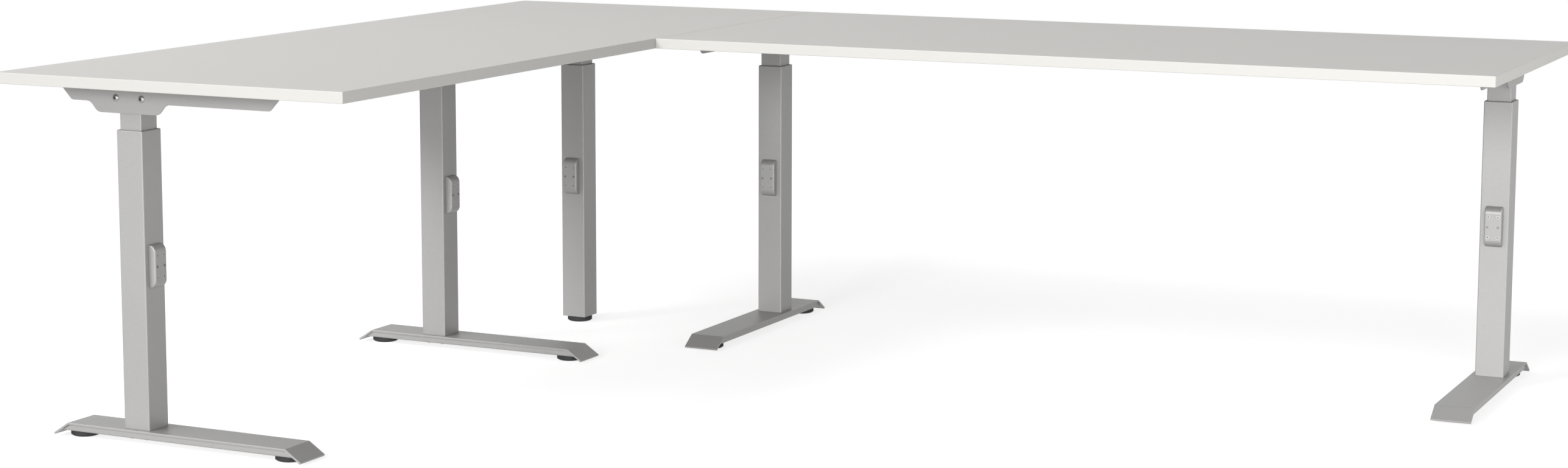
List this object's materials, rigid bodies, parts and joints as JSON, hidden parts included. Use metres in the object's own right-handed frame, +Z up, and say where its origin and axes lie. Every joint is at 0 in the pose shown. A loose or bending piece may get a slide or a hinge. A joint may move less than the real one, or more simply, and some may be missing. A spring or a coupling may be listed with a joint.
{
  "type": "height adjustable desk",
  "caption": "L-shaped desk top with a square corner piece, on telescopic square-tube legs with clamp blocks, flat T-shaped feet and levelling glides.",
  "frame": {"origin": "on the floor, under the middle of the rectangle that the L-shaped top fits in", "axes": "+X along the right wing, +Y to the back of the right wing, +Z up"},
  "size_m": [2.6, 2, 0.725],
  "materials": {
    "board_laminate": "matt white-grey melamine on chipboard",
    "silver_paint": "fine-textured silver-grey powder coat",
    "plated_steel": "zinc plated",
    "black_plastic": "matt black with a fine knurl on the rim",
    "guide_plastic": "smooth dark grey"
  },
  "bodies": {
    "lower_leg_left_outer": {"outer_tube_left_outer": "silver_paint", "guide_bush_left_outer": "guide_plastic", "clamp_block_left_outer": "silver_paint", "clamp_pad_left_outer": "plated_steel", "foot_plate_left_outer": "silver_paint", "foot_channel_left_outer": "silver_paint"},
    "desk_top": {"left_wing_board": "board_laminate", "corner_board": "board_laminate", "right_wing_board": "board_laminate", "seam_plate_left_1": "plated_steel", "seam_plate_left_2": "plated_steel", "seam_plate_right_1": "plated_steel", "seam_plate_right_2": "plated_steel", "corner_mount_plate": "plated_steel", "inner_tube_left_outer": "silver_paint", "inner_tube_left_inner": "silver_paint", "inner_tube_corner": "silver_paint", "inner_tube_right_inner": "silver_paint", "inner_tube_right_outer": "silver_paint", "tube_slider_left_outer": "guide_plastic", "tube_slider_left_inner": "guide_plastic", "tube_slider_corner": "guide_plastic", "tube_slider_right_inner": "guide_plastic", "tube_slider_right_outer": "guide_plastic", "top_bracket_left_outer": "silver_paint", "top_bracket_left_inner": "silver_paint", "top_bracket_right_inner": "silver_paint", "top_bracket_right_outer": "silver_paint"},
    "lower_leg_left_inner": {"outer_tube_left_inner": "silver_paint", "guide_bush_left_inner": "guide_plastic", "clamp_block_left_inner": "silver_paint", "clamp_pad_left_inner": "plated_steel", "foot_plate_left_inner": "silver_paint", "foot_channel_left_inner": "silver_paint"},
    "lower_leg_corner": {"outer_tube_corner": "silver_paint", "guide_bush_corner": "guide_plastic", "clamp_block_corner": "silver_paint", "clamp_pad_corner": "plated_steel"},
    "lower_leg_right_inner": {"outer_tube_right_inner": "silver_paint", "guide_bush_right_inner": "guide_plastic", "clamp_block_right_inner": "silver_paint", "clamp_pad_right_inner": "plated_steel", "foot_plate_right_inner": "silver_paint", "foot_channel_right_inner": "silver_paint"},
    "lower_leg_right_outer": {"outer_tube_right_outer": "silver_paint", "guide_bush_right_outer": "guide_plastic", "clamp_block_right_outer": "silver_paint", "clamp_pad_right_outer": "plated_steel", "foot_plate_right_outer": "silver_paint", "foot_channel_right_outer": "silver_paint"},
    "glide_rear_left_outer": {"glide_rear_left_outer": "black_plastic"},
    "glide_front_left_outer": {"glide_front_left_outer": "black_plastic"},
    "glide_rear_left_inner": {"glide_rear_left_inner": "black_plastic"},
    "glide_front_left_inner": {"glide_front_left_inner": "black_plastic"},
    "glide_rear_right_inner": {"glide_rear_right_inner": "black_plastic"},
    "glide_front_right_inner": {"glide_front_right_inner": "black_plastic"},
    "glide_rear_right_outer": {"glide_rear_right_outer": "black_plastic"},
    "glide_front_right_outer": {"glide_front_right_outer": "black_plastic"},
    "glide_corner": {"glide_corner": "black_plastic"}
  },
  "joints": [
    {"name": "top_lift", "type": "slide", "parent": "lower_leg_left_outer", "child": "desk_top", "axis": [0, 0, 1], "range_m": [-0.025, 0.255]},
    {"name": "leg_extension_left_inner", "type": "slide", "parent": "desk_top", "child": "lower_leg_left_inner", "axis": [0, 0, -1], "range_m": [-0.025, 0.255]},
    {"name": "leg_extension_corner", "type": "slide", "parent": "desk_top", "child": "lower_leg_corner", "axis": [0, 0, -1], "range_m": [-0.025, 0.255]},
    {"name": "leg_extension_right_inner", "type": "slide", "parent": "desk_top", "child": "lower_leg_right_inner", "axis": [0, 0, -1], "range_m": [-0.025, 0.255]},
    {"name": "leg_extension_right_outer", "type": "slide", "parent": "desk_top", "child": "lower_leg_right_outer", "axis": [0, 0, -1], "range_m": [-0.025, 0.255]},
    {"name": "level_rear_left_outer", "type": "slide", "parent": "lower_leg_left_outer", "child": "glide_rear_left_outer", "axis": [0, 0, -1], "range_m": [0, 0.008]},
    {"name": "level_front_left_outer", "type": "slide", "parent": "lower_leg_left_outer", "child": "glide_front_left_outer", "axis": [0, 0, -1], "range_m": [0, 0.008]},
    {"name": "level_rear_left_inner", "type": "slide", "parent": "lower_leg_left_inner", "child": "glide_rear_left_inner", "axis": [0, 0, -1], "range_m": [0, 0.008]},
    {"name": "level_front_left_inner", "type": "slide", "parent": "lower_leg_left_inner", "child": "glide_front_left_inner", "axis": [0, 0, -1], "range_m": [0, 0.008]},
    {"name": "level_rear_right_inner", "type": "slide", "parent": "lower_leg_right_inner", "child": "glide_rear_right_inner", "axis": [0, 0, -1], "range_m": [0, 0.008]},
    {"name": "level_front_right_inner", "type": "slide", "parent": "lower_leg_right_inner", "child": "glide_front_right_inner", "axis": [0, 0, -1], "range_m": [0, 0.008]},
    {"name": "level_rear_right_outer", "type": "slide", "parent": "lower_leg_right_outer", "child": "glide_rear_right_outer", "axis": [0, 0, -1], "range_m": [0, 0.008]},
    {"name": "level_front_right_outer", "type": "slide", "parent": "lower_leg_right_outer", "child": "glide_front_right_outer", "axis": [0, 0, -1], "range_m": [0, 0.008]},
    {"name": "level_corner", "type": "slide", "parent": "lower_leg_corner", "child": "glide_corner", "axis": [0, 0, -1], "range_m": [0, 0.008]}
  ],
  "couplings": [
    {"joint": "leg_extension_left_inner", "follows": "top_lift", "ratio": 1},
    {"joint": "leg_extension_corner", "follows": "top_lift", "ratio": 1},
    {"joint": "leg_extension_right_inner", "follows": "top_lift", "ratio": 1},
    {"joint": "leg_extension_right_outer", "follows": "top_lift", "ratio": 1}
  ]
}
